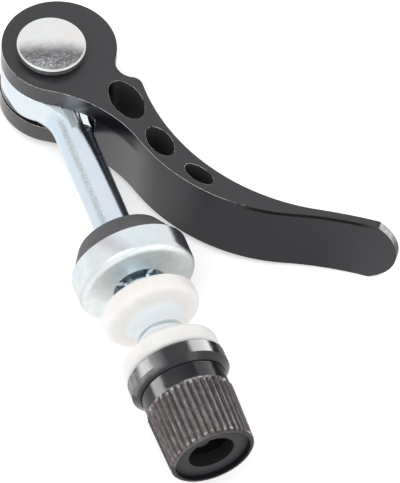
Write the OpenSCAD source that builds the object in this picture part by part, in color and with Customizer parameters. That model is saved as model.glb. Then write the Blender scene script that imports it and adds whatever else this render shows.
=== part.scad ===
// Quick-release seatpost clamp: a cam lever on an eye bolt, with a thrust pad in a steel cup,
// two nylon bushes that centre the rod in the frame's ears, and a knurled nut.
// The pivot pin's axis is Z through the origin. The rod runs along -Y. The lever lies on its side.

/* [Lever] */
// Width of the lever across both cheeks
lever_w = 13.2; // [11.5:0.1:15]
// Radius of the round cam head
head_r = 9.25; // [8.8:0.05:10]
// Throw of the cam, from the pivot to the centre of the head
cam_throw = 1.85; // [1.2:0.05:2.2]
// Direction of the throw, in degrees from the X axis
cam_dir = 24; // [10:1:40]
// Radius of the saw cut that clears the eye
slot_r = 10.7; // [10.4:0.05:11]
// Distance from the pivot to the step where the web starts
web_step = 5.9; // [5.2:0.1:7]
// Radius of the hollow under the head
root_r = 21.4; // [18:0.2:25]
// Radius of the rounded belly of the arm
belly_r = 30; // [28:0.2:32]
// Place of the centre of the belly across the rod
belly_x = 36.6; // [35.5:0.1:38]
// Place of the centre of the belly along the rod
belly_y = -13.4; // [-15:0.1:-12]
// Radius of the hollow outer side of the arm
hollow_r = 33.5; // [32.5:0.1:36]
// Thickness of the arm at its root
arm_root_t = 5.3; // [4.9:0.1:6.5]
// Thickness of the arm where the finger blade starts
arm_end_t = 1.9; // [1.6:0.05:2.6]
// Direction of the arm's root, seen from the centre of the belly
arm_root_dir = 194; // [192:1:196]
// Direction of the blade's start, seen from the centre of the belly
arm_end_dir = 248; // [245:1:251]
// Radius of the blade's inner side
blade_in_r = 58; // [50:1:65]
// Radius of the blade's outer side
blade_out_r = 91; // [75:1:110]
// Direction where the blade's outer side starts, seen from the centre of the hollow side
blade_out_dir = 242; // [240:0.5:244]
// Length of the blade along its inner side
blade_len = 17.2; // [15:0.1:20]
// Radius of the blade's rounded end
blade_end_r = 7.6; // [7.4:0.1:12]
// Radius of the notch behind the head
notch_r = 3; // [2.4:0.1:3.6]
// Direction of the notch, seen from the centre of the head
notch_dir = -32.5; // [-36:0.5:-30]
// Radius of the shoulder behind the notch
shoulder_r = 1.85; // [1.4:0.05:2.4]

/* [Holes in the lever] */
// Width of the largest hole
hole_1_w = 4.9; // [4:0.1:5.6]
// Length of the largest hole
hole_1_l = 8.2; // [6.5:0.1:8.6]
// Place of the largest hole across the rod
hole_1_x = 8.3; // [7.8:0.1:8.8]
// Place of the largest hole along the rod
hole_1_y = -12.6; // [-13.5:0.1:-12]
// Direction of the largest hole
hole_1_dir = -80; // [-85:1:-75]
// Width of the middle hole
hole_2_w = 3.7; // [3:0.1:4.2]
// Length of the middle hole
hole_2_l = 6.2; // [5:0.1:7]
// Direction of the middle hole's place, seen from the centre of the belly
hole_2_at = 198; // [196:0.5:200]
// Width of the smallest hole
hole_3_w = 2.6; // [2:0.1:3]
// Length of the smallest hole
hole_3_l = 5.3; // [4:0.1:6]
// Direction of the smallest hole's place, seen from the centre of the belly
hole_3_at = 216; // [213:0.5:220]
// Turn of the two smaller holes from the direction of their place
hole_turn = 86; // [80:1:92]
// Radius of a hole's ends, as a share of half its width
hole_end = 0.68; // [0.5:0.02:0.8]

/* [Pivot pin] */
// Diameter of the pin's shank
pin_d = 6; // [5:0.1:6.6]
// Diameter of the domed head
pin_head_d = 11; // [10:0.1:12]
// Height of the dome above its edge
dome_h = 0.9; // [0.6:0.1:1.4]
// Height of the domed head's straight edge
pin_edge_h = 0.9; // [0.3:0.1:1.2]
// Height of the flare under the head's edge
pin_flare_h = 1; // [0.6:0.1:1.8]
// Diameter of the flare on the cheek
pin_foot_d = 9.4; // [8.4:0.1:10.4]
// Diameter of the peened end
peen_d = 8; // [7.2:0.1:9]
// Height of the peened end
peen_h = 0.5; // [0.3:0.1:0.8]

/* [Eye bolt] */
// Diameter of the rod
rod_d = 6; // [5.6:0.1:6.4]
// Length from the pivot to the end of the rod
rod_l = 68; // [64:0.5:72]
// Outer radius of the eye
eye_r = 7.75; // [7.2:0.05:8]
// Width of the eye
eye_w = 5.9; // [5.4:0.1:6.2]
// Rounding of the eye's edges
eye_edge_r = 1.5; // [0.6:0.1:2]
// Fillet between the eye and the rod
eye_fillet_r = 9; // [3:0.1:9.5]
// Step from the eye's flat faces down to the flare between the eye and the rod
flare_step = 0.1; // [0.05:0.05:0.5]
// Chamfer at the end of the rod
rod_chamfer = 0.8; // [0.4:0.1:1.2]

/* [Thrust pad and cup] */
// Distance from the pivot to the pad's back, with the clamp loose
pad_from_pin = 34.1; // [30:0.1:36]
// Height of the pad's cone above the cup
pad_h = 4; // [3:0.1:5]
// Diameter of the pad's back
pad_back_d = 14; // [12:0.1:15.5]
// Outer diameter of the cup
cup_d = 19; // [18.8:0.1:20]
// Height of the cup
cup_h = 4.5; // [3.8:0.1:5.5]
// Step from the cup's side in to the pad's shoulder
cup_lip = 0.2; // [0.1:0.05:0.4]
// Thickness of the cup's wall
cup_wall = 0.9; // [0.6:0.1:1.3]
// Thickness of the cup's floor
cup_floor = 1.3; // [1:0.1:1.8]
// Outer rounding of the cup's edge
cup_edge_r = 1.1; // [0.6:0.1:1.4]
// Diameter of the hole in the cup
cup_hole_d = 8.3; // [7.4:0.1:9]
// Width of each tooth in the cup's hole
tooth_w = 0.8; // [0.5:0.1:1.2]
// Direction of the first tooth, in degrees
tooth_dir = 62; // [0:1:89]

/* [Bushes] */
// Diameter of a bush's flange
flange_d = 15.5; // [14:0.1:17]
// Thickness of a bush's flange
flange_t = 3.2; // [2.4:0.1:4]
// Rounding of the flange's edges
flange_edge_r = 0.9; // [0.4:0.1:1.1]
// Diameter of a bush's spigot
spigot_d = 7.5; // [7.2:0.1:8.5]
// Length of a bush's spigot
spigot_l = 2.95; // [2:0.05:4]
// Fillet between a bush's flange and its spigot
spigot_root_r = 1.9; // [0.8:0.1:2.2]
// Free length between the cup and the inner bush
cup_play = 3.4; // [1:0.1:5]
// Free length between the two spigots
ear_play = 0.65; // [0.4:0.05:3]

/* [Nut] */
// Length of the nut
nut_l = 16.4; // [14.5:0.1:18]
// Diameter of the nut's collar
collar_d = 15.8; // [15:0.1:17]
// Width of the collar's straight edge
collar_t = 2.4; // [1.6:0.1:2.8]
// Width of the collar's bevel
collar_bevel = 0.95; // [0.7:0.05:1.1]
// Diameter of the smooth neck
neck_d = 13.5; // [12.8:0.1:13.6]
// Distance from the nut's back to the knurl
knurl_from = 6.3; // [5:0.1:7.5]
// Diameter over the knurl where it starts
knurl_d = 13.95; // [13.6:0.05:14.6]
// Diameter over the knurl at the nut's end
knurl_end_d = 13.4; // [13:0.05:13.6]
// Depth of the knurl
knurl_depth = 0.35; // [0.25:0.05:0.6]
// Height trimmed off the sharp crests of the ridges
crest_trim = 0.06; // [0.03:0.01:0.1]
// Number of ridges in the knurl
knurl_n = 40; // [30:1:48]
// Chamfer at the nut's end
nut_chamfer = 0.3; // [0.2:0.05:0.5]
// Depth of the thread in the nut
thread_l = 11; // [9:0.1:11.5]
// Diameter of the cavity behind the thread
cavity_d = 7.2; // [6.6:0.1:8]
// Diameter of the insert in the nut's end
insert_d = 11.8; // [11:0.1:12]
// Thickness of the insert
insert_t = 2.2; // [1.6:0.1:2.8]
// Depth of the insert below the nut's end
insert_depth = 0.8; // [0.3:0.1:1.1]
// Diameter of the hole in the insert
insert_hole_d = 7.2; // [6.6:0.1:8]
// Height of the bump in the insert's hole
insert_bump_h = 0.7; // [0.4:0.1:1]
// Direction of the bump, in degrees
insert_bump_dir = 117; // [0:1:180]

/* [Clearances] */
// Gap between the pin and its holes in the cheeks
pin_seat_gap = 0.02; // [0:0.01:0.05]
// Gap between the pin and the eye
pin_run_gap = 0.05; // [0.02:0.01:0.1]
// Gap between the eye and each cheek
cheek_gap = 0.2; // [0.1:0.05:0.4]
// Gap between the rod and the lever's web
web_gap = 0.3; // [0.2:0.05:0.6]
// Gap between the rod and the pad
pad_gap = 0.2; // [0.1:0.05:0.3]
// Gap between the pad and the cup's wall
cup_gap = 0.05; // [0.02:0.01:0.1]
// Gap between the rod and the cup's teeth
tooth_gap = 0.1; // [0.05:0.01:0.15]
// Gap between the rod and a bush
bush_gap = 0.08; // [0.04:0.01:0.1]
// Gap between the rod and the nut's thread
thread_gap = 0.05; // [0.02:0.01:0.1]
// Gap between the outer bush and the nut
seat_gap = 0.05; // [0.02:0.01:0.1]
// Gap between the insert and the nut
insert_gap = 0.02; // [0:0.01:0.05]

/* [Hidden] */
$fn = 96;

// Reach of a cutting shape past the solid that it cuts
far = 60;
// Overlap of a cut with the face that it opens
cut = 0.5;
// Overlap of the lever's stretches with each other, and the same in degrees of their arcs
lap = 0.4;
lap_turn = 4;
// Depth by which one round shape crosses another that it only has to touch
hair = 0.005;

rod_r = rod_d / 2;
pin_r = pin_d / 2;
slot_w = eye_w + 2 * cheek_gap;

// Places along the rod, from the pivot outwards
cup_from_pin = pad_from_pin + pad_h;
bush_1_from_pin = cup_from_pin + cup_h + cup_play;
spigot_1_end = bush_1_from_pin + flange_t + spigot_l;
spigot_2_end = spigot_1_end + ear_play;
bush_2_from_pin = spigot_2_end + spigot_l + flange_t;
nut_from_pin = bush_2_from_pin + seat_gap;

// Point at a radius and a direction from a centre
function polar(centre, radius, direction) = centre + radius * [cos(direction), sin(direction)];
// Direction from one point to another
function heading(from, to) = atan2(to.y - from.y, to.x - from.x);
// Crossing of two circles that lies to the left of the line from the first centre to the second
function crossing(c1, r1, c2, r2) =
    let (d = norm(c2 - c1), a = (d * d + r1 * r1 - r2 * r2) / (2 * d))
    let (h = sqrt(max(0, r1 * r1 - a * a)), u = (c2 - c1) / d)
    c1 + a * u + h * [-u.y, u.x];

// Centres of the arcs in the lever's outline, each tangent to its neighbours
head_c = polar([0, 0], cam_throw, cam_dir);
belly_c = [belly_x, belly_y];
root_c = crossing(belly_c, belly_r + root_r, head_c, head_r + root_r);
root_start = polar(head_c, head_r, heading(head_c, root_c));
belly_start = polar(belly_c, belly_r, heading(belly_c, root_c));
belly_end = polar(belly_c, belly_r, arm_end_dir);
hollow_1 = polar(belly_c, belly_r - arm_root_t, arm_root_dir);
hollow_2 = polar(belly_c, belly_r - arm_end_t, arm_end_dir);
hollow_c = crossing(hollow_1, hollow_r, hollow_2, hollow_r);
hollow_end = polar(hollow_c, hollow_r, blade_out_dir);
blade_in_c = polar(belly_c, belly_r + blade_in_r, arm_end_dir);
blade_out_c = polar(hollow_c, hollow_r + blade_out_r, blade_out_dir);
notch_c = polar(head_c, head_r + notch_r, notch_dir);
shoulder_c = crossing(hollow_c, hollow_r + shoulder_r, notch_c, notch_r + shoulder_r);
shoulder_start = polar(notch_c, notch_r, heading(notch_c, shoulder_c));
shoulder_end = polar(hollow_c, hollow_r, heading(hollow_c, shoulder_c));

// End of the blade and its heading there
tip_dir = arm_end_dir - 180 - blade_len / blade_in_r * 180 / PI;
tip = polar(blade_in_c, blade_in_r, tip_dir);
tip_heading = tip_dir - 90;
// Length of the part of the blade's end that its rounding shapes
tip_round_l = blade_end_r - sqrt(blade_end_r * blade_end_r - lever_w * lever_w / 4);

// Middle line of the arm at a direction from the belly's centre, for the holes
function arm_middle(direction) =
    let (near = belly_r, d = belly_c - hollow_c, u = [cos(direction), sin(direction)])
    let (b = d * u, outer = -b + sqrt(b * b + hollow_r * hollow_r - d * d))
    polar(belly_c, (near + outer) / 2, direction);

// Round head and the root of the arm, as far as the belly
module lever_root() {
    translate(head_c) circle(head_r);
    translate(shoulder_c) circle(shoulder_r);
    polygon([head_c, root_start, belly_start, polar(belly_c, belly_r - lap, arm_root_dir + lap_turn),
             polar(belly_c, belly_r / 2, arm_root_dir + lap_turn), shoulder_end, shoulder_start,
             polar(head_c, head_r, notch_dir)]);
}

// Arm behind its belly
module lever_arm() {
    intersection() {
        translate(belly_c) circle(belly_r);
        polygon([belly_c, polar(belly_c, far, heading(belly_c, root_c)),
                 polar(belly_c, far, (arm_root_dir + arm_end_dir) / 2), polar(belly_c, far, arm_end_dir)]);
    }
}

// Thin blade that the finger pulls
module lever_blade() {
    polygon([polar(belly_c, belly_r - lap, arm_end_dir - lap_turn), belly_end,
             polar(blade_in_c, blade_in_r - lap, arm_end_dir - 180 - lap_turn / 2),
             polar(blade_out_c, blade_out_r - lap, blade_out_dir - 180 - lap_turn / 2), hollow_end, hollow_c]);
    intersection() {
        translate(blade_out_c) circle(blade_out_r);
        polygon([polar(hollow_c, hollow_r - arm_end_t, blade_out_dir - lap_turn / 4),
                 polar(hollow_c, hollow_r + 4 * arm_end_t, blade_out_dir - lap_turn / 4),
                 polar(polar(tip, blade_end_r, tip_heading), 2 * arm_end_t, tip_heading - 90),
                 polar(polar(tip, blade_end_r, tip_heading), 3 * arm_end_t, tip_heading + 90)]);
    }
}

// Outline of the lever: the hollows are cut a hair deep, so that each meets its neighbour cleanly
module lever_outline() {
    difference() {
        union() {
            lever_root();
            lever_arm();
            lever_blade();
        }
        translate(root_c) circle(root_r + hair);
        translate(notch_c) circle(notch_r + hair);
        translate(hollow_c) circle(hollow_r + hair);
        translate(blade_in_c) circle(blade_in_r + hair);
    }
}

// Oval of four arcs, along a heading: two long sides and two round ends
module long_hole(centre, width, length, direction) {
    end_r = hole_end * width / 2;
    reach = length / 2 - end_r;
    side_r = (reach * reach + width * width / 4 - end_r * end_r) / (width - 2 * end_r);
    side_c = side_r - width / 2;
    touch = side_r / (side_r - end_r);
    translate(centre) rotate(direction) {
        intersection() {
            square([2 * touch * reach, width + 2 * lap], center = true);
            translate([0, side_c]) circle(side_r);
            translate([0, -side_c]) circle(side_r);
        }
        for (end = [-1, 1])
            translate([end * reach, 0]) circle(end_r + hair);
    }
}

module lever_holes() {
    long_hole([hole_1_x, hole_1_y], hole_1_w, hole_1_l, hole_1_dir);
    long_hole(arm_middle(hole_2_at), hole_2_w, hole_2_l, hole_2_at + hole_turn);
    long_hole(arm_middle(hole_3_at), hole_3_w, hole_3_l, hole_3_at + hole_turn);
}

// Space between the cheeks, open all round but for the web that carries the arm
module cheek_slot() {
    linear_extrude(slot_w, center = true) {
        circle(slot_r);
        difference() {
            circle(far);
            translate([rod_r + web_gap, -web_step - 2 * far]) square(2 * far);
        }
    }
}

module lever() {
    color("#3a3a3e") difference() {
        intersection() {
            linear_extrude(lever_w, center = true) lever_outline();
            translate(tip) rotate(tip_heading) union() {
                translate([-2 * far - tip_round_l - lap, -far, -far]) cube(2 * far);
                translate([-blade_end_r, 0, 0]) rotate([90, 0, 0]) cylinder(h = 2 * far, r = blade_end_r, center = true);
            }
        }
        linear_extrude(lever_w + 2 * cut, center = true) lever_holes();
        cheek_slot();
        cylinder(h = lever_w + 2 * cut, r = pin_r + pin_seat_gap, center = true);
    }
}

// Domed rivet, peened over the lower cheek
module pivot_pin() {
    edge_r = pin_head_d / 2;
    dome_r = (edge_r * edge_r + dome_h * dome_h) / (2 * dome_h);
    edge_z = lever_w / 2 + pin_flare_h;
    color("#d8d8d2") union() {
        cylinder(h = lever_w + 2 * peen_h, r = pin_r, center = true);
        translate([0, 0, -lever_w / 2 - peen_h]) cylinder(h = peen_h, r1 = peen_d / 2 - peen_h, r2 = peen_d / 2);
        translate([0, 0, lever_w / 2]) cylinder(h = pin_flare_h, r1 = pin_foot_d / 2, r2 = edge_r);
        intersection() {
            translate([0, 0, edge_z]) cylinder(h = pin_edge_h + dome_h, r = edge_r);
            translate([0, 0, edge_z + pin_edge_h + dome_h - dome_r]) sphere(dome_r);
        }
    }
}

// Outline of a ring's section with rounded outer edges
module ring_section(inner, outer, width, edge) {
    translate([inner, -width / 2]) square([outer - edge - inner, width]);
    translate([inner, -width / 2 + edge]) square([outer - inner, width - 2 * edge]);
    for (side = [-1, 1])
        translate([outer - edge, side * (width / 2 - edge)]) circle(edge);
}

// Flare that blends the rod into the eye, turned about the rod and cut flat above and below
module eye_flare() {
    fillet_x = rod_r + eye_fillet_r;
    fillet_y = sqrt(pow(eye_r + eye_fillet_r, 2) - fillet_x * fillet_x);
    touch = eye_r / (eye_r + eye_fillet_r);
    intersection() {
        along_rod(0) difference() {
            polygon([[0, fillet_y], [rod_r, fillet_y], [touch * fillet_x, touch * fillet_y], [0, touch * fillet_y]]);
            translate([fillet_x, fillet_y]) circle(eye_fillet_r + hair);
        }
        cube([far, far, eye_w - 2 * flare_step], center = true);
    }
}

module eye_bolt() {
    color("#c9d4dc") difference() {
        union() {
            rotate_extrude() ring_section(pin_r, eye_r, eye_w, eye_edge_r);
            eye_flare();
            rotate([90, 0, 0]) cylinder(h = rod_l - rod_chamfer, r = rod_r);
            translate([0, rod_chamfer - rod_l, 0]) rotate([90, 0, 0])
                cylinder(h = rod_chamfer, r1 = rod_r, r2 = rod_r - rod_chamfer);
        }
        cylinder(h = rod_d + 2 * cut, r = pin_r + pin_run_gap, center = true);
    }
}

// Turns a section, drawn with its axis upright, to lie along the rod from a place on it
module along_rod(from_pin) {
    translate([0, -from_pin, 0]) rotate([90, 0, 0]) rotate_extrude() children();
}

// Plastic pad: a cone that the cam presses on, and a plug inside the cup
module thrust_pad() {
    bore_r = rod_r + pad_gap;
    plug_r = cup_d / 2 - cup_wall - cup_gap;
    shoulder_end_r = cup_d / 2 - cup_lip;
    color("#3b3533") along_rod(pad_from_pin) {
        polygon([[bore_r, 0], [pad_back_d / 2, 0], [shoulder_end_r, pad_h], [bore_r, pad_h]]);
        translate([bore_r, pad_h - cut]) square([plug_r - bore_r, cup_h - cup_floor + cut]);
    }
}

// Pressed steel cup with small teeth in its hole
module cup_washer() {
    outer = cup_d / 2;
    hole = cup_hole_d / 2;
    tooth_r = rod_r + tooth_gap;
    color("#ccd2d6") {
        along_rod(cup_from_pin) {
            translate([outer - cup_wall, 0]) square([cup_wall, cup_h - cup_edge_r]);
            translate([hole, cup_h - cup_floor]) square([outer - cup_edge_r - hole, cup_floor]);
            intersection() {
                translate([outer - cup_edge_r, cup_h - cup_edge_r]) circle(cup_edge_r);
                translate([outer - cup_edge_r, cup_h - cup_floor]) square(cup_floor);
            }
        }
        translate([0, -cup_from_pin - cup_h, 0]) rotate([-90, 0, 0]) linear_extrude(cup_floor)
            difference() {
                for (turn = [0:90:270])
                    rotate(turn - tooth_dir) translate([0, -tooth_w / 2]) square([hole + tooth_w / 2, tooth_w]);
                circle(tooth_r);
            }
    }
}

// Nylon bush with its spigot towards larger distances from its flange's back
module bush_section() {
    bore_r = rod_r + bush_gap;
    flange_r = flange_d / 2;
    translate([0, flange_t / 2]) ring_section(bore_r, flange_r, flange_t, flange_edge_r);
    translate([bore_r, flange_t - cut]) square([spigot_d / 2 - bore_r, spigot_l + cut]);
    translate([spigot_d / 2, flange_t]) difference() {
        translate([-lap, -lap]) square(spigot_root_r + lap);
        translate([spigot_root_r, spigot_root_r]) circle(spigot_root_r + hair);
    }
}

module inner_bush() {
    color("#efece4") along_rod(bush_1_from_pin) bush_section();
}

module outer_bush() {
    color("#efece4") along_rod(bush_2_from_pin) mirror([0, 1]) bush_section();
}

// Section of the nut's smooth body, with its back at zero
module nut_body_section() {
    collar_r = collar_d / 2;
    neck_r = neck_d / 2;
    core_r = (insert_d + knurl_end_d) / 4 - knurl_depth / 2;
    polygon([[0, 0], [collar_r - nut_chamfer, 0], [collar_r, nut_chamfer], [collar_r, collar_t],
             [collar_r - collar_bevel, collar_t + collar_bevel], [neck_r, collar_t + collar_bevel],
             [neck_r, knurl_from], [core_r, knurl_from + neck_r - core_r], [core_r, nut_l], [0, nut_l]]);
}

// Section of the nut's bores: the thread, the cavity behind it and the seat of the insert
module nut_bore_section() {
    translate([0, -cut]) square([rod_r + thread_gap, nut_l + 2 * cut]);
    translate([0, thread_l]) square([cavity_d / 2, nut_l]);
    translate([0, nut_l - insert_depth - insert_t]) square([insert_d / 2 + insert_gap, nut_l]);
}

// Ridges of the knurl, straight along the rod and trimmed to a slight taper
module knurl() {
    crest_r = knurl_d / 2;
    end_r = knurl_end_d / 2;
    base_r = end_r - knurl_depth;
    lead = crest_r - neck_d / 2 + cut;
    intersection() {
        rotate([90, 0, 0]) translate([0, 0, nut_from_pin]) linear_extrude(nut_l)
            polygon([for (i = [0:2 * knurl_n - 1])
                polar([0, 0], i % 2 == 0 ? base_r : crest_r + crest_trim, i * 180 / knurl_n)]);
        along_rod(nut_from_pin) polygon([[0, knurl_from - cut], [crest_r - lead, knurl_from - cut],
                                         [crest_r, knurl_from - cut + lead], [end_r, nut_l - nut_chamfer],
                                         [end_r - nut_chamfer, nut_l], [0, nut_l]]);
    }
}

module nut() {
    color("#2c2a2c") difference() {
        union() {
            along_rod(nut_from_pin) nut_body_section();
            knurl();
        }
        along_rod(nut_from_pin) nut_bore_section();
    }
}

// Ring in the nut's end, with a bump in its hole
module nut_insert() {
    bump_r = insert_bump_h * 1.6;
    color("#47474b") translate([0, insert_depth - nut_from_pin - nut_l, 0]) rotate([-90, 0, 0])
        linear_extrude(insert_t) difference() {
            circle(insert_d / 2);
            difference() {
                circle(insert_hole_d / 2);
                translate(polar([0, 0], insert_hole_d / 2 + bump_r - insert_bump_h, -insert_bump_dir))
                    circle(bump_r);
            }
        }
}

lever();
pivot_pin();
eye_bolt();
thrust_pad();
cup_washer();
inner_bush();
outer_bush();
nut();
nut_insert();
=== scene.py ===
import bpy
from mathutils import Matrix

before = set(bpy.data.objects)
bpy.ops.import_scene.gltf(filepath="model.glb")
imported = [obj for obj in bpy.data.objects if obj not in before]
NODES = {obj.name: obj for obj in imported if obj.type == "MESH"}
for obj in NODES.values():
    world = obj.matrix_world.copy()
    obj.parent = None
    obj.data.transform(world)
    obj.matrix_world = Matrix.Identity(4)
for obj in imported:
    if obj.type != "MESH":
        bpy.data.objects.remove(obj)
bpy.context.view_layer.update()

import math
import bpy
import bmesh
from mathutils import Matrix, Vector

MM = 0.001
MM_PER_METRE = 1000
WHITE = (1, 1, 1, 1)
scene = bpy.context.scene


# Node helpers

class Value:
    """What a node gives. Arithmetic on it adds the node that works out the result."""

    def __init__(self, tree, socket):
        self.tree = tree
        self.socket = socket

    def __add__(self, other):
        return compute("ADD", self, other)

    def __sub__(self, other):
        return compute("SUBTRACT", self, other)

    def __rsub__(self, other):
        return compute("SUBTRACT", other, self)

    def __mul__(self, other):
        return compute("MULTIPLY", self, other)

    def __truediv__(self, other):
        return compute("DIVIDE", self, other)


def tree_of(*terms):
    """The node tree that the terms are in."""
    return next(term.tree for term in terms if isinstance(term, Value))


def plug(term, socket):
    """Feeds a socket with a Value, or sets it to a number or a colour."""
    if isinstance(term, Value):
        term.tree.links.new(term.socket, socket)
    elif isinstance(term, tuple):
        socket.default_value = (*term, 1)
    else:
        socket.default_value = term


def plug_all(inputs, terms):
    """Feeds the inputs that the terms are named for."""
    for name, term in terms.items():
        plug(term, inputs[name])


def compute(operation, *terms):
    """The result of a Math node."""
    tree = tree_of(*terms)
    node = tree.nodes.new("ShaderNodeMath")
    node.operation = operation
    for socket, term in zip(node.inputs, terms):
        plug(term, socket)
    return Value(tree, node.outputs[0])


def largest(first, *others):
    """The largest of the terms."""
    for other in others:
        first = compute("MAXIMUM", first, other)
    return first


def length_of(a, b):
    """Length of the vector with the components a and b."""
    return compute("SQRT", a * a + b * b)


def smooth(value, low, high):
    """Runs smoothly from 0 at low to 1 at high."""
    node = value.tree.nodes.new("ShaderNodeMapRange")
    node.interpolation_type = "SMOOTHSTEP"
    plug_all(node.inputs, {"Value": value, "From Min": low, "From Max": high})
    return Value(value.tree, node.outputs["Result"])


def band(value, low, high, soft):
    """1 between low and high, with soft edges."""
    return smooth(value, low - soft, low + soft) * smooth(value, high + soft, high - soft)


def grey(level):
    return (level, level, level)


def tinted(colour, factors):
    return tuple(part * factor for part, factor in zip(colour, factors))


def ramp(value, *stops):
    """A colour that runs from one stop to the next. A stop is a position and a colour."""
    node = value.tree.nodes.new("ShaderNodeValToRGB")
    elements = node.color_ramp.elements
    while len(elements) < len(stops):
        elements.new(0.5)
    for element, (position, colour) in zip(elements, stops):
        element.position = position
        element.color = (*colour, 1)
    plug(value, node.inputs["Fac"])
    return Value(value.tree, node.outputs["Color"])


def levels(value, *stops):
    """A grey level that runs from one stop to the next. A stop is a position and a level."""
    return ramp(value, *((position, grey(level)) for position, level in stops))


def mix(factor, a, b, kind="MIX"):
    """Colour a where the factor is 0, and colour b laid over it where the factor is 1."""
    tree = tree_of(factor, a, b)
    node = tree.nodes.new("ShaderNodeMix")
    node.data_type = "RGBA"
    node.blend_type = kind
    plug_all(node.inputs, {"Factor": factor, "A": a, "B": b})
    return Value(tree, node.outputs["Result"])


def millimetres(tree, scale=(1, 1, 1), turn=0.0):
    """Place on the object in millimetres, scaled along the axes and turned about Z."""
    place = tree.nodes.new("ShaderNodeTexCoord")
    node = tree.nodes.new("ShaderNodeMapping")
    node.inputs["Scale"].default_value = [MM_PER_METRE * factor for factor in scale]
    node.inputs["Rotation"].default_value = (0, 0, turn)
    tree.links.new(place.outputs["Object"], node.inputs["Vector"])
    return Value(tree, node.outputs["Vector"])


def separate(vector):
    """The three components of a vector."""
    node = vector.tree.nodes.new("ShaderNodeSeparateXYZ")
    plug(vector, node.inputs[0])
    return [Value(vector.tree, output) for output in node.outputs]


def surface_normal(tree):
    """The three components of the object's own normal."""
    place = tree.nodes.new("ShaderNodeTexCoord")
    return separate(Value(tree, place.outputs["Normal"]))


def turn_about_rod(x, z):
    """Angle round the rod in degrees, from +X towards +Z."""
    return compute("ARCTAN2", z, x) * (180 / math.pi)


def noise(place, scale, detail=4, rough=0.55, distortion=0.0):
    """Cloudy noise from 0 to 1, finer with a larger scale."""
    node = place.tree.nodes.new("ShaderNodeTexNoise")
    plug_all(node.inputs, {"Vector": place, "Scale": scale, "Detail": detail,
                           "Roughness": rough, "Distortion": distortion})
    return Value(place.tree, node.outputs["Fac"])


def bump(height, distance_mm, strength):
    """Normal of a surface that the height raises by up to distance_mm."""
    node = height.tree.nodes.new("ShaderNodeBump")
    plug_all(node.inputs, {"Height": height, "Distance": distance_mm * MM, "Strength": strength})
    return Value(height.tree, node.outputs["Normal"])


def slanted(factor, normal, slant):
    """The normal, with one fixed slant in its place where the factor is 1."""
    node = normal.tree.nodes.new("ShaderNodeMix")
    node.data_type = "VECTOR"
    plug_all(node.inputs, {"Factor": factor, "A": normal})
    node.inputs["B"].default_value = slant
    return Value(normal.tree, node.outputs["Result"])


def new_material(name):
    """A new material, its node tree and the inputs of its shader."""
    material = bpy.data.materials.new(name)
    material.use_nodes = True
    tree = material.node_tree
    tree.nodes.clear()
    out = tree.nodes.new("ShaderNodeOutputMaterial")
    shader = tree.nodes.new("ShaderNodeBsdfPrincipled")
    tree.links.new(shader.outputs["BSDF"], out.inputs["Surface"])
    return material, tree, shader.inputs


# Materials. Places are millimetres on the object: the pivot runs along Z and the rod along -Y.
# Angles are degrees round the rod, from +X towards +Z.

# The lever's lightening holes: centre, length, width and turn
HOLES = (
    ((8.3, -12.6), 8.2, 4.9, -80),
    ((10.56, -21.86), 6.2, 3.7, 284),
    ((14.19, -29.68), 5.3, 2.6, 302),
)
# How far a hole's mask reaches past its wall, and how much larger it is for the rim
HOLE_MARGIN = 0.12
RIM = 1
# The cheeks' upper face, the finger blade's end and the direction of its scuffed corner
CHEEK_TOP = 6.6
TIP_X = 38.6
TIP_DIRECTION = (0.777, -0.629)
# Places along the rod: the eye's end, the thread's start, the collar's end and the knurl's ends
EYE_END = -9.5
THREAD_START = -46
COLLAR_END = -62.2
KNURL_START, KNURL_END = -65.0, -75.2
# The thread's pitch, and the slant of the small facet beside the rod's neck
PITCH = 1.0
FACET_NORMAL = (-0.187, -0.711, 0.678)
# Distances from the rod's axis
CUP_HOLE_RADIUS = 6.2
SPIGOT_RADIUS = 4.0
GROOVE_RADIUS, CREST_RADIUS = 6.4, 6.9
RECESS_RADIUS = 6.0
INSERT_HOLE_RADIUS = 3.65
# Refraction of the black coatings
IOR = 1.5


def hole_mask(place, centre, length, width, turn):
    """1 inside an upright long hole and just round it."""
    node = place.tree.nodes.new("ShaderNodeMapping")
    node.vector_type = "TEXTURE"
    node.inputs["Location"].default_value = (*centre, 0)
    node.inputs["Rotation"].default_value = (0, 0, math.radians(turn))
    plug(place, node.inputs["Vector"])
    along, across, _ = separate(Value(place.tree, node.outputs["Vector"]))
    past = largest(compute("ABSOLUTE", along) - (length - width) / 2, 0.0)
    return compute("LESS_THAN", length_of(past, across), width / 2 + HOLE_MARGIN)


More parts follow.
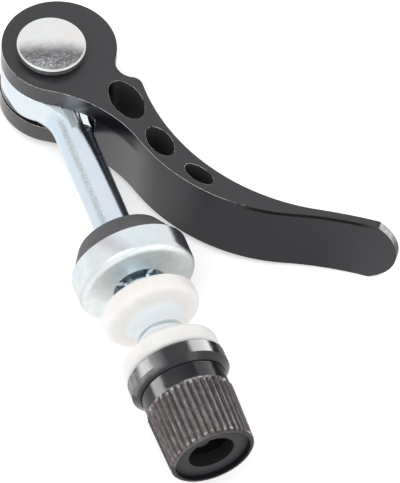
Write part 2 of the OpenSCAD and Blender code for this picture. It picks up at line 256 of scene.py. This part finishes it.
def lever_black():
    """Black coating, finely grained on the faces, with painted shade that darkens the upright
    sides.
    """
    material, tree, shader = new_material("lever_black")
    place = millimetres(tree)
    x, y, z = separate(place)
    nx, ny, nz = surface_normal(tree)
    side = smooth(compute("ABSOLUTE", nz), 0.5, 0.2)
    fine = noise(place, 9, 5, 0.6)
    colour = ramp(fine, (0.35, (0.0235, 0.023, 0.027)), (0.7, (0.0335, 0.033, 0.038)))
    # Painted shade: the upright sides are painted darker
    colour = mix(side * 0.75, colour, (0.0145, 0.013, 0.0195))
    specks = levels(noise(place, 2.3, 6, 0.75), (0.735, 0), (0.765, 0.55))
    colour = mix(specks, colour, grey(0.2))
    # Painted light: the holes' walls are painted lighter than the other upright sides
    in_hole = largest(*(hole_mask(place, *hole) for hole in HOLES)) * side
    colour = mix(in_hole, colour, (0.050, 0.050, 0.054))
    # Painted dark reflection: a dark line just under the upper edges of the finger blade
    line = smooth(z, 5.75, 6.0) * band(x, 19, 36, 1.5) * side
    colour = mix(line, colour, (0.006, 0.005, 0.006))
    # The upper cheek's side at the lever's root: a painted pale reflection, and a painted dark
    # reflection beside it
    root = side * smooth(z, 2.6, 3.4) * smooth(y, -7.0, -8.5)
    colour = mix(root * band(x, -0.4, 1.6, 0.7), colour, (0.12, 0.136, 0.152))
    root_dark = root * band(x, 2.1, 7.5, 0.5)
    colour = mix(root_dark, colour, (0.008, 0.007, 0.010))
    # Scuffed metal at the corner of the finger blade
    outward = nx * TIP_DIRECTION[0] + ny * TIP_DIRECTION[1]
    at_tip = smooth(x, TIP_X - 3, TIP_X - 2) * smooth(z, 2.2, 5.4) * smooth(outward, 0.34, 0.46)
    scuff = at_tip * levels(noise(place, 1.6, 6, 0.7), (0.3, 0.25), (0.6, 1))
    colour = mix(scuff, colour, (0.55, 0.55, 0.56))
    face_rough = levels(noise(place, 0.12, 3), (0.3, 0.30), (0.7, 0.40))
    side_rough = mix(smooth(x, 6.5, 9.5), grey(0.17), grey(0.44))
    dark = largest(in_hole, largest(line, root_dark) * 0.9)
    gloss = mix(side * smooth(x, 8.5, 6.5), grey(0.5), grey(0.85))
    plug_all(shader, {"Base Color": colour, "Roughness": mix(side, face_rough, side_rough),
                      "Specular IOR Level": mix(dark, gloss, grey(0.04)), "IOR": IOR,
                      "Normal": bump(fine, 0.012, 0.5)})
    return material


def lever_edge():
    """Rounded edges of the lever: bare metal shows along the near side, the rest stays black."""
    material, tree, shader = new_material("lever_edge")
    place = millimetres(tree)
    x = separate(place)[0]
    near = smooth(x, 19, 15)
    bare = noise(place, 0.45, 7, 0.75) + (near * 0.27 - 0.09)
    bare = bare - smooth(x, 7, 3) * 0.09
    for centre, length, width, turn in HOLES:
        bare = bare - hole_mask(place, centre, length + RIM, width + RIM, turn) * 0.10
    metal = levels(bare, (0.50, 0), (0.60, 1))
    plug_all(shader, {"Base Color": mix(metal, (0.010, 0.010, 0.011), (0.93, 0.92, 0.92)),
                      "Metallic": metal * 0.4, "Roughness": 0.4,
                      "Specular IOR Level": mix(metal, grey(0.08), grey(0.5))})
    return material


def zinc(name, tint, rough):
    """Bright zinc with a faint bluish and pink sheen. Returns what the single parts build on."""
    material, tree, shader = new_material(name)
    place = millimetres(tree)
    fine = noise(place, 5, 5, 0.65)
    cool = tinted(tint, (0.94, 1.0, 1.03))
    warm = tinted(tint, (1.0, 0.965, 0.985))
    colour = ramp(noise(place, 0.13, 2), (0.4, cool), (0.6, warm))
    cloud = levels(noise(place, 0.22, 4, 0.6), (0.35, 0.0), (0.75, 0.3))
    colour = mix(cloud, colour, tinted(tint, grey(0.8)))
    rough = mix(levels(fine, (0.3, 0), (0.7, 1)), grey(rough * 0.75), grey(rough * 1.35))
    plug_all(shader, {"Metallic": 1.0, "Normal": bump(fine, 0.02, 0.4)})
    return material, shader, place, fine, colour, rough


def pin_steel():
    """The pin's dome, with a dull scratched lower half inside a bright rim."""
    material, shader, place, _, colour, rough = zinc("pin_steel", (0.86, 0.85, 0.82), 0.22)
    x, y, z = separate(place)
    # Distance up the dome as the photograph shows it, and out from its middle
    up = x * 0.30 + y * 0.95
    out = length_of(x, y)
    wander = (noise(place, 0.5, 4, 0.6) - 0.5) * 1.4
    dull = smooth(up + wander, 0.8, -2.5) * smooth(out - up * 0.04, 5.5, 5.2)
    dull = dull * smooth(z, CHEEK_TOP, CHEEK_TOP + 0.1)
    scratch = noise(millimetres(place.tree, (1.0, 1.5, 1.0), 0.5), 1.7, 9, 0.82, 0.8)
    mottle = ramp(scratch + smooth(up, -1.6, -4.8) * 0.05, (0.38, (0.10, 0.10, 0.105)),
                  (0.53, (0.19, 0.19, 0.20)), (0.66, (0.58, 0.58, 0.60)))
    plug_all(shader, {"Base Color": mix(dull, colour, mottle),
                      "Roughness": mix(dull, rough, grey(0.34))})
    return material


def bolt_zinc():
    """Eye bolt: an eye painted bluish and lighter as painted light, a rod with a rough strip along
    it, and the thread at its end.
    """
    material, shader, place, fine, colour, rough = zinc("bolt_zinc", (0.715, 0.80, 0.87), 0.17)
    x, y, z = separate(place)
    turn = turn_about_rod(x, z)
    nz = surface_normal(place.tree)[2]
    rod = smooth(y, EYE_END, EYE_END - 1.5)
    eye = smooth(y, EYE_END, EYE_END + 1.5)
    # Painted light: the eye is painted lighter and bluer than the rod
    colour = mix(eye * 0.75, colour, (0.86, 0.92, 0.97))
    # Rough drawn strip along the rod's top
    strip = band(turn, 119, 138, 5) * rod
    grain = noise(place, 3.6, 7, 0.8, 0.5)
    colour = mix(strip, colour, ramp(grain, (0.36, (0.36, 0.40, 0.41)),
                                     (0.52, (0.56, 0.62, 0.65)), (0.66, (0.77, 0.85, 0.90))))
    # Painted reflections: the eye's flat upper face and a flat where the rod leaves the eye are
    # painted plain colours that stand in for what they reflect; a facet there is painted bright
    # and its normal slanted so that it reflects the white studio
    shelf = smooth(nz, 0.97, 0.99) * band(z, 2.6, 3.05, 0.05) * band(y, -12, -4, 0.5)
    flat = band(turn, 82, 104, 2) * band(y, -12.8, -8.6, 0.12)
    facet = band(turn, 22, 62, 2) * band(y, -12.4, -9.2, 0.12)
    colour = mix(shelf, colour, (0.80, 0.85, 0.89))
    colour = mix(flat, colour, (0.38, 0.44, 0.45))
    colour = mix(facet, colour, (0.86, 0.93, 0.98))
    # Painted shade: the eye's lower rounded edge is painted dark, more of it towards the far end
    low = z - smooth(y, -5.0, -1.5) * 1.3
    colour = mix(smooth(low, -1.5, -2.2) * eye, colour, (0.06, 0.075, 0.09))
    # Thread: a ridge that climbs round the rod; the groove is painted darker as painted shade
    tooth = compute("PINGPONG", y / PITCH + turn / 360.0, 0.5)
    threaded = smooth(y, THREAD_START, THREAD_START - PITCH)
    colour = mix(threaded, colour, (0.90, 0.95, 0.98))
    colour = mix(threaded * smooth(tooth, 0.2, 0.05), colour, (0.68, 0.78, 0.82))
    plain = largest(flat, shelf)
    height = fine * 0.02 + strip * grain * 0.05
    height = height + threaded * tooth * 1.1
    plug_all(shader, {"Base Color": colour,
                      "Roughness": mix(largest(strip, plain), rough, grey(0.45)),
                      "Metallic": 1.0 - largest(plain * 0.9, threaded * 0.5),
                      "Normal": slanted(facet, bump(height, 1.0, 0.6), FACET_NORMAL)})
    return material


def cup_zinc():
    """Cup: a bluish white left side and a pinkish grey patch beside it, both painted reflections,
    and a matt blotched front painted lighter as painted light.
    """
    material, shader, place, _, colour, rough = zinc("cup_zinc", (0.80, 0.83, 0.84), 0.2)
    x, y, z = separate(place)
    turn = turn_about_rod(x, z)
    ny = surface_normal(place.tree)[1]
    side = smooth(ny, -0.5, -0.2)
    front = smooth(ny, -0.55, -0.85)
    bright = smooth(turn, 136, 150) * side
    patch = band(turn - y * 4, 265, 281, 8) * side
    # Painted reflections: a bluish white band on the left side and a pinkish grey patch beside it
    colour = mix(bright * 0.8, colour, (0.84, 0.92, 0.94))
    colour = mix(patch * 0.9, colour, (0.55, 0.535, 0.575))
    # Painted light: the front face is painted lighter
    colour = mix(front * 0.9, colour, (0.94, 0.985, 0.97))
    blotch = levels(noise(place, 0.7, 5, 0.65), (0.42, 0), (0.62, 1))
    colour = mix(blotch * 0.35, colour, (0.66, 0.72, 0.75))
    drawn = noise(millimetres(place.tree, (1, 0.25, 1)), 1.4, 6, 0.7)
    rough = mix(smooth(ny, -0.1, -0.6), rough, grey(0.40))
    plug_all(shader, {"Base Color": colour, "Roughness": mix(patch * drawn, rough, grey(0.4))})
    return material


def pad_plastic():
    """Dull black plastic, greyer on the end that shows through the cup's hole."""
    material, tree, shader = new_material("pad_plastic")
    place = millimetres(tree)
    x, _, z = separate(place)
    ny = surface_normal(tree)[1]
    fine = noise(place, 6, 5, 0.65)
    colour = ramp(noise(place, 0.5, 3), (0.3, (0.066, 0.065, 0.069)), (0.7, (0.096, 0.094, 0.099)))
    inner = smooth(length_of(x, z), CUP_HOLE_RADIUS + 0.3, CUP_HOLE_RADIUS) * smooth(ny, 0.3, 0.0)
    plug_all(shader, {"Base Color": mix(inner, colour, (0.48, 0.56, 0.58)),
                      "Roughness": levels(fine, (0.3, 0.48), (0.7, 0.62)),
                      "Normal": bump(fine, 0.03, 0.6)})
    return material


def nylon():
    """Warm white nylon that lets some light in, bluish on the spigots."""
    material, tree, shader = new_material("nylon")
    place = millimetres(tree)
    x, _, z = separate(place)
    fine = noise(place, 7, 4, 0.6)
    colour = ramp(noise(place, 0.35, 3), (0.3, (0.81, 0.785, 0.755)), (0.7, (0.86, 0.845, 0.83)))
    spigot = smooth(length_of(x, z), SPIGOT_RADIUS + 1, SPIGOT_RADIUS)
    plug_all(shader, {"Base Color": mix(spigot, colour, (0.86, 0.91, 0.93)),
                      "Roughness": levels(fine, (0.3, 0.38), (0.7, 0.52)),
                      "Subsurface Weight": 0.6, "Subsurface Scale": 1.0,
                      "Normal": bump(fine, 0.01, 0.4)})
    shader["Subsurface Radius"].default_value = (0.0035, 0.0031, 0.0026)
    return material


def nut_black():
    """Glossy black nut with a scuffed collar and a knurl that has lost its black, painted lighter
    on its left and darker on its right as painted light and shade.
    """
    material, tree, shader = new_material("nut_black")
    place = millimetres(tree)
    x, y, z = separate(place)
    turn, radius = turn_about_rod(x, z), length_of(x, z)
    fine = noise(place, 8, 5, 0.65)
    colour = ramp(fine, (0.3, (0.0100, 0.0092, 0.0125)), (0.7, (0.016, 0.0145, 0.0185)))
    smear = noise(millimetres(tree, (1, 0.4, 1)), 0.9, 5, 0.6)
    rough = levels(smear, (0.35, 0.08), (0.7, 0.22))
    # Scuffs on the left of the collar
    scuff = levels(noise(millimetres(tree, (1, 0.3, 1)), 0.8, 6, 0.7), (0.32, 0.25), (0.62, 1))
    scuff = scuff * (band(turn, 118, 178, 10) * smooth(y, COLLAR_END, COLLAR_END + 0.6))
    colour = mix(scuff * 0.8, colour, (0.33, 0.325, 0.34))
    # Dull brownish metal on the knurl, brighter on the ridges; painted light and shade make it
    # lighter on the left and darker on the right
    inside = smooth(radius, RECESS_RADIUS + 0.1, RECESS_RADIUS)
    knurl = smooth(y, KNURL_START, KNURL_START - 0.5) * (1.0 - inside)
    dirt = noise(millimetres(tree, (1, 0.45, 1)), 1.6, 7, 0.75)
    worn_and_shaded = ramp(dirt, (0.30, (0.066, 0.056, 0.057)), (0.5, (0.140, 0.121, 0.121)),
                (0.70, (0.28, 0.252, 0.252)))
    groove = mix(0.3, worn_and_shaded, (0.03, 0.026, 0.026))
    worn_and_shaded = mix(smooth(radius, GROOVE_RADIUS, CREST_RADIUS), groove, worn_and_shaded)
    # Painted light and shade: the knurl is painted lighter on the left and darker on the right
    worn_and_shaded = mix(1.0, worn_and_shaded, mix(smooth(turn, 35, 115), grey(0.44), grey(1.02)), "MULTIPLY")
    # Bright chips at the ridges' ends
    ends = largest(smooth(y, KNURL_START - 1.3, KNURL_START - 0.6),
                   smooth(y, KNURL_END + 0.7, KNURL_END))
    chips = levels(noise(place, 1.1, 5, 0.7), (0.50, 0), (0.58, 1))
    chips = chips * ends * smooth(radius, CREST_RADIUS - 0.35, CREST_RADIUS - 0.2)
    worn_and_shaded = mix(chips, worn_and_shaded, (0.52, 0.50, 0.49))
    neck = smooth(y, COLLAR_END, COLLAR_END - 0.4)
    neck_gloss = mix(smooth(turn, 75, 115), grey(0.04), grey(0.42))
    gloss = mix(neck, grey(0.5), neck_gloss)
    plug_all(shader, {"Base Color": mix(knurl, colour, worn_and_shaded),
                      "Roughness": mix(knurl, rough, grey(0.6)),
                      "Metallic": mix(knurl, grey(0), grey(0.1)),
                      "Specular IOR Level": mix(knurl, gloss, grey(0.14)), "IOR": IOR,
                      "Normal": bump(fine * 0.01 + knurl * dirt * 0.09, 1.0, 0.7)})
    return material


def insert_plastic():
    """Dark matt ring in the nut's end, painted darker inside its hole as painted shade."""
    material, tree, shader = new_material("insert_plastic")
    place = millimetres(tree)
    x, _, z = separate(place)
    fine = noise(place, 5, 5, 0.65)
    colour = ramp(fine, (0.3, (0.030, 0.030, 0.033)), (0.7, (0.043, 0.043, 0.047)))
    # Painted shade: the hole's wall is painted darker
    in_hole = smooth(length_of(x, z), INSERT_HOLE_RADIUS + 0.1, INSERT_HOLE_RADIUS)
    plug_all(shader, {"Base Color": mix(in_hole, colour, (0.016, 0.016, 0.018)),
                      "Roughness": levels(fine, (0.3, 0.5), (0.7, 0.65)),
                      "Specular IOR Level": 0.25,
                      "Normal": bump(fine, 0.02, 0.5)})
    return material


def dress(name, *materials):
    """Gives a node its materials, one to a slot."""
    slots = NODES[name].data.materials
    slots.clear()
    for material in materials:
        slots.append(material)


dress("lever", lever_black(), lever_edge())
dress("pivot_pin", pin_steel())
dress("eye_bolt", bolt_zinc())
dress("thrust_pad", pad_plastic())
dress("cup_washer", cup_zinc())
bush_nylon = nylon()
dress("inner_bush", bush_nylon)
dress("outer_bush", bush_nylon)
dress("nut", nut_black())
dress("nut_insert", insert_plastic())


# The lever's rounded edges, in its second material. Normals are weighted to keep the faces even.
EDGE_WIDTH = 0.30 * MM
EDGE_SLOT = 1
WELD_DISTANCE = 0.02 * MM

lever = NODES["lever"]
weld = lever.modifiers.new("weld", "WELD")
weld.merge_threshold = WELD_DISTANCE
bevel = lever.modifiers.new("bevel", "BEVEL")
bevel.width = EDGE_WIDTH
bevel.segments = 2
bevel.limit_method = "ANGLE"
bevel.angle_limit = math.radians(32)
bevel.use_clamp_overlap = True
bevel.material = EDGE_SLOT
even = lever.modifiers.new("even", "WEIGHTED_NORMAL")
even.weight = 50


# Floor: the plane that the clamp's cup, head and finger blade rest on
FLOOR_NORMAL = Vector((-0.0878, -0.0476, 0.9950)).normalized()
FLOOR_POINT = Vector((0.00062, -0.0381, -0.00949))
FLOOR_HALF_SIZE = 1.5
FLOOR_GLOW = 0.41
# How bright the floor is in reflections: round a point between the rod and the lever, given in
# millimetres, and how much brighter it gets further out
FLOOR_REFLECTED = 0.52
FLOOR_REFLECTED_RISE = 0.5
DARK_MIDDLE = (18, -42, -8)

grid = bmesh.new()
bmesh.ops.create_grid(grid, x_segments=1, y_segments=1, size=FLOOR_HALF_SIZE)
floor_mesh = bpy.data.meshes.new("floor")
grid.to_mesh(floor_mesh)
grid.free()
floor = bpy.data.objects.new("floor", floor_mesh)
scene.collection.objects.link(floor)
tilt = FLOOR_NORMAL.to_track_quat("Z", "Y").to_matrix().to_4x4()
floor.matrix_world = Matrix.Translation(FLOOR_POINT) @ tilt


def ray_is(tree, *kinds):
    """1 for rays of the named kinds."""
    path = tree.nodes.new("ShaderNodeLightPath")
    return largest(*(Value(tree, path.outputs[f"Is {kind} Ray"]) for kind in kinds))


def mix_shaders(tree, factor, first, second, socket):
    """Feeds the socket with the first shader, and with the second where the factor is 1."""
    node = tree.nodes.new("ShaderNodeMixShader")
    plug(factor, node.inputs[0])
    tree.links.new(first.outputs[0], node.inputs[1])
    tree.links.new(second.outputs[0], node.inputs[2])
    tree.links.new(node.outputs[0], socket)


def floor_white():
    """White floor that glows a little and has a brightness of its own in reflections."""
    material = bpy.data.materials.new("floor_white")
    material.use_nodes = True
    tree = material.node_tree
    tree.nodes.clear()
    out = tree.nodes.new("ShaderNodeOutputMaterial")
    matt = tree.nodes.new("ShaderNodeBsdfDiffuse")
    plug(grey(0.9), matt.inputs["Color"])
    glow = tree.nodes.new("ShaderNodeEmission")
    glow.inputs["Strength"].default_value = FLOOR_GLOW
    seen = tree.nodes.new("ShaderNodeAddShader")
    tree.links.new(matt.outputs[0], seen.inputs[0])
    tree.links.new(glow.outputs[0], seen.inputs[1])
    place = tree.nodes.new("ShaderNodeNewGeometry")
    in_mm = tree.nodes.new("ShaderNodeVectorMath")
    in_mm.operation = "SCALE"
    in_mm.inputs["Scale"].default_value = MM_PER_METRE
    tree.links.new(place.outputs["Position"], in_mm.inputs[0])
    away = tree.nodes.new("ShaderNodeVectorMath")
    away.operation = "DISTANCE"
    away.inputs[1].default_value = DARK_MIDDLE
    tree.links.new(in_mm.outputs["Vector"], away.inputs[0])
    reflected = tree.nodes.new("ShaderNodeEmission")
    reflected.inputs["Color"].default_value = WHITE
    rise = smooth(Value(tree, away.outputs["Value"]), 11, 22)
    plug(rise * FLOOR_REFLECTED_RISE + FLOOR_REFLECTED, reflected.inputs["Strength"])
    mix_shaders(tree, ray_is(tree, "Glossy", "Transmission"), seen, reflected,
                out.inputs["Surface"])
    return material


floor_mesh.materials.append(floor_white())


# World: a white studio, a little darker as a source of light than as it is seen and reflected
STUDIO_LIGHT = 0.84
STUDIO_SEEN = 1.0

world = bpy.data.worlds.new("studio")
scene.world = world
world.use_nodes = True
world.node_tree.nodes.clear()
world_out = world.node_tree.nodes.new("ShaderNodeOutputWorld")


def background(strength):
    """White world shader."""
    node = world.node_tree.nodes.new("ShaderNodeBackground")
    node.inputs["Color"].default_value = WHITE
    node.inputs["Strength"].default_value = strength
    return node


mix_shaders(world.node_tree, ray_is(world.node_tree, "Camera", "Glossy", "Transmission"),
            background(STUDIO_LIGHT), background(STUDIO_SEEN), world_out.inputs["Surface"])


# Lamps, with places and sizes in metres and power in watts
CLAMP_MIDDLE = (0.012, -0.035, 0.0)
NUT_COLLAR = Vector((0, -0.0625, 0))
GLINT_DISTANCE = 0.3


def area(name, place, target, size, power):
    """Rectangular lamp that faces the target."""
    light = bpy.data.lights.new(name, "AREA")
    light.shape = "RECTANGLE"
    light.size, light.size_y = size
    light.energy = power
    lamp = bpy.data.objects.new(name, light)
    scene.collection.objects.link(lamp)
    lamp.location = place
    lamp.rotation_euler = (Vector(target) - Vector(place)).to_track_quat("-Z", "Y").to_euler()
    return lamp


def nut_glint(name, direction, size, power):
    """Soft lamp that only puts a highlight on the nut."""
    place = NUT_COLLAR + GLINT_DISTANCE * Vector(direction).normalized()
    lamp = area(name, place, NUT_COLLAR, size, power)
    lamp.visible_diffuse = False
    nut_only = bpy.data.collections.new(name)
    nut_only.objects.link(NODES["nut"])
    lamp.light_linking.receiver_collection = nut_only


area("key", (-0.25, -0.10, 0.55), CLAMP_MIDDLE, (0.35, 0.35), 0.8)
area("fill", (0.35, -0.45, 0.35), CLAMP_MIDDLE, (0.4, 0.3), 0.4)
nut_glint("glint_right", (0.80, 0.53, 0.29), (0.40, 0.34), 4.6)
nut_glint("glint_left", (-0.85, 0.53, 0.05), (0.22, 0.24), 1.4)


# Camera, from a fit to the photograph: its place, how far it is turned up, round and over,
# and its focal length in pixels of the picture
CAMERA_PLACE = (-0.13669, -0.33668, 0.46122)
CAMERA_UP = math.radians(54.092)
CAMERA_ROUND = math.radians(-26.426)
CAMERA_ROLL = math.radians(7.411)
FOCAL_PIXELS = 3648.0
PICTURE_HEIGHT = 483
SENSOR = 36

back = Vector((math.sin(CAMERA_ROUND) * math.cos(CAMERA_UP),
               -math.cos(CAMERA_ROUND) * math.cos(CAMERA_UP),
               math.sin(CAMERA_UP)))
level_right = Vector((math.cos(CAMERA_ROUND), math.sin(CAMERA_ROUND), 0))
level_up = back.cross(level_right)
right = math.cos(CAMERA_ROLL) * level_right + math.sin(CAMERA_ROLL) * level_up
up = -math.sin(CAMERA_ROLL) * level_right + math.cos(CAMERA_ROLL) * level_up
camera_data = bpy.data.cameras.new("camera")
camera_data.sensor_width = SENSOR
camera_data.lens = FOCAL_PIXELS * SENSOR / PICTURE_HEIGHT
camera_data.clip_start = 0.05
camera_data.clip_end = 10
camera = bpy.data.objects.new("camera", camera_data)
scene.collection.objects.link(camera)
facing = Matrix((right, up, back)).transposed().to_4x4()
camera.matrix_world = Matrix.Translation(Vector(CAMERA_PLACE)) @ facing
scene.camera = camera

scene.view_settings.view_transform = "Standard"
